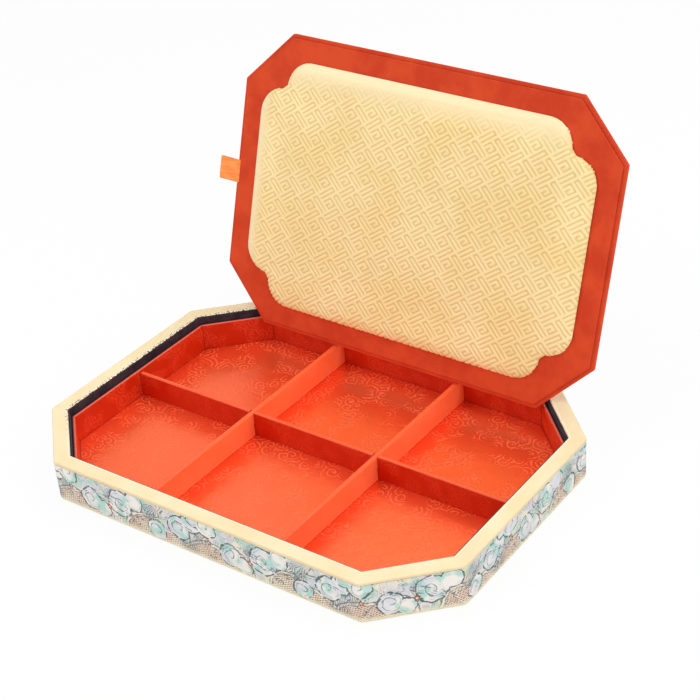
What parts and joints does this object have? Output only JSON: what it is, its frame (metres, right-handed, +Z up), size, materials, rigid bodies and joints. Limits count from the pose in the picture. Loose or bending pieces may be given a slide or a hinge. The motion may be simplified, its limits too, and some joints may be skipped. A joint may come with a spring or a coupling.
{
  "type": "jewelry tray",
  "caption": "Low octagonal jewelry tray with divided compartments, a flat cream rim over printed walls, and a loose padded lid with a ribbon tab that leans open in its recess.",
  "frame": {"origin": "middle of the tray's underside, on the surface it stands on", "axes": "+X along the tray's length to the right, -Y towards its front, +Z up; the lid leans open along the back, and its ribbon tab is on the left"},
  "size_m": [0.3028, 0.2554, 0.2034],
  "materials": {
    "board": "bare grey board",
    "bottom_paper": "matte covering paper",
    "printed_cloth": "printed cotton cloth",
    "cream_cloth": "fine woven cloth",
    "navy_velvet": "short velvet pile",
    "red_damask": "satin with a tone-on-tone weave",
    "red_suede": "suede-like nap",
    "lid_paper": "matte covering paper",
    "cream_brocade": "satin brocade with a key-fret weave",
    "pad_card": "thin card",
    "pad_foam": "soft foam sheet",
    "orange_ribbon": "satin ribbon"
  },
  "bodies": {
    "tray": {"base_board": "board", "bottom_sheet": "bottom_paper", "outer_wall_front": "board", "outer_wall_front_right": "board", "outer_wall_right": "board", "outer_wall_back_right": "board", "outer_wall_back": "board", "outer_wall_back_left": "board", "outer_wall_left": "board", "outer_wall_front_left": "board", "printed_wrap": "printed_cloth", "rim_frame": "cream_cloth", "recess_board_front": "board", "recess_board_front_right": "board", "recess_board_right": "board", "recess_board_back_right": "board", "recess_board_back": "board", "recess_board_back_left": "board", "recess_board_left": "board", "recess_board_front_left": "board", "velvet_band": "navy_velvet", "liner_wall_front": "red_damask", "liner_wall_front_right": "red_damask", "liner_wall_right": "red_damask", "liner_wall_back_right": "red_damask", "liner_wall_back": "red_damask", "liner_wall_back_left": "red_damask", "liner_wall_left": "red_damask", "liner_wall_front_left": "red_damask", "floor_card": "red_damask", "long_divider": "red_damask", "cross_divider_left": "red_damask", "cross_divider_right": "red_damask"},
    "lid": {"lid_board": "red_suede", "lid_facing_board": "red_suede", "lid_back_sheet": "lid_paper", "pad_cover": "cream_brocade", "pad_card": "pad_card", "pad_foam": "pad_foam", "tab_root": "orange_ribbon"},
    "pull_tab": {"pull_tab": "orange_ribbon"}
  },
  "joints": [
    {"name": "lid_tilt", "type": "hinge", "parent": "tray", "child": "lid", "pos_m": [0, 0.08905, 0.02815], "axis": [1, 0, 0], "range_deg": [0, 108.3]},
    {"name": "pull_tab_fold", "type": "hinge", "parent": "lid", "child": "pull_tab", "pos_m": [-0.1386, 0.11631, 0.11294], "axis": [0, -0.314, -0.9494], "range_deg": [0, 90]}
  ],
  "couplings": [
    {"joint": "pull_tab_fold", "follows": "lid_tilt", "ratio": 0.831}
  ]
}
